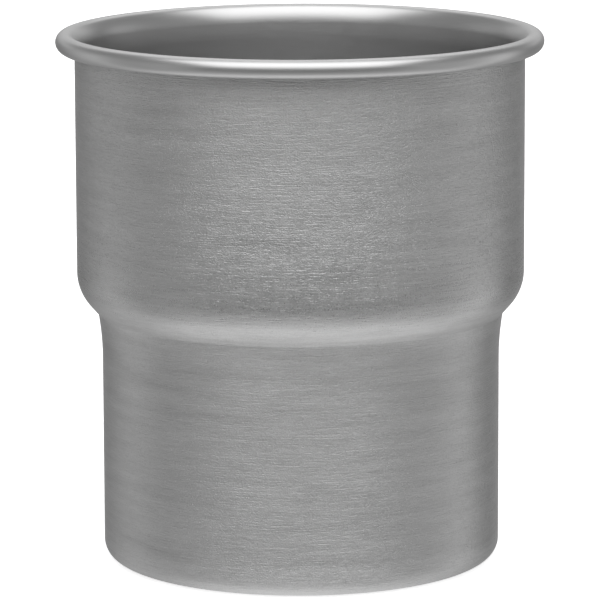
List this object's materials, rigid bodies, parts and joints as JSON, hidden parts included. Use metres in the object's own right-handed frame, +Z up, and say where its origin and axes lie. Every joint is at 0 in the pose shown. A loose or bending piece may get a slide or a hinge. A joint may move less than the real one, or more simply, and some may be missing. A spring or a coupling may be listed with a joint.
{
  "type": "shaving mug",
  "caption": "Handle-less stepped shaving mug in brushed sheet steel, with a wide upper body, rounded shoulder, narrower lower body, wired bead rim and recessed base.",
  "frame": {"origin": "centre of the standing ring, on the plane that the mug stands on", "axes": "+Z up along the mug's axis; the mug is round, so +X and +Y are any two sides of it"},
  "size_m": [0.0822, 0.0822, 0.09],
  "materials": {
    "brushed_sheet": "fine circumferential brushing, smoother on the bead",
    "drawn_wire": "plain drawn wire"
  },
  "bodies": {
    "root": {"body_wall": "brushed_sheet", "base_pan": "brushed_sheet", "rim_wire": "drawn_wire"}
  },
  "joints": []
}
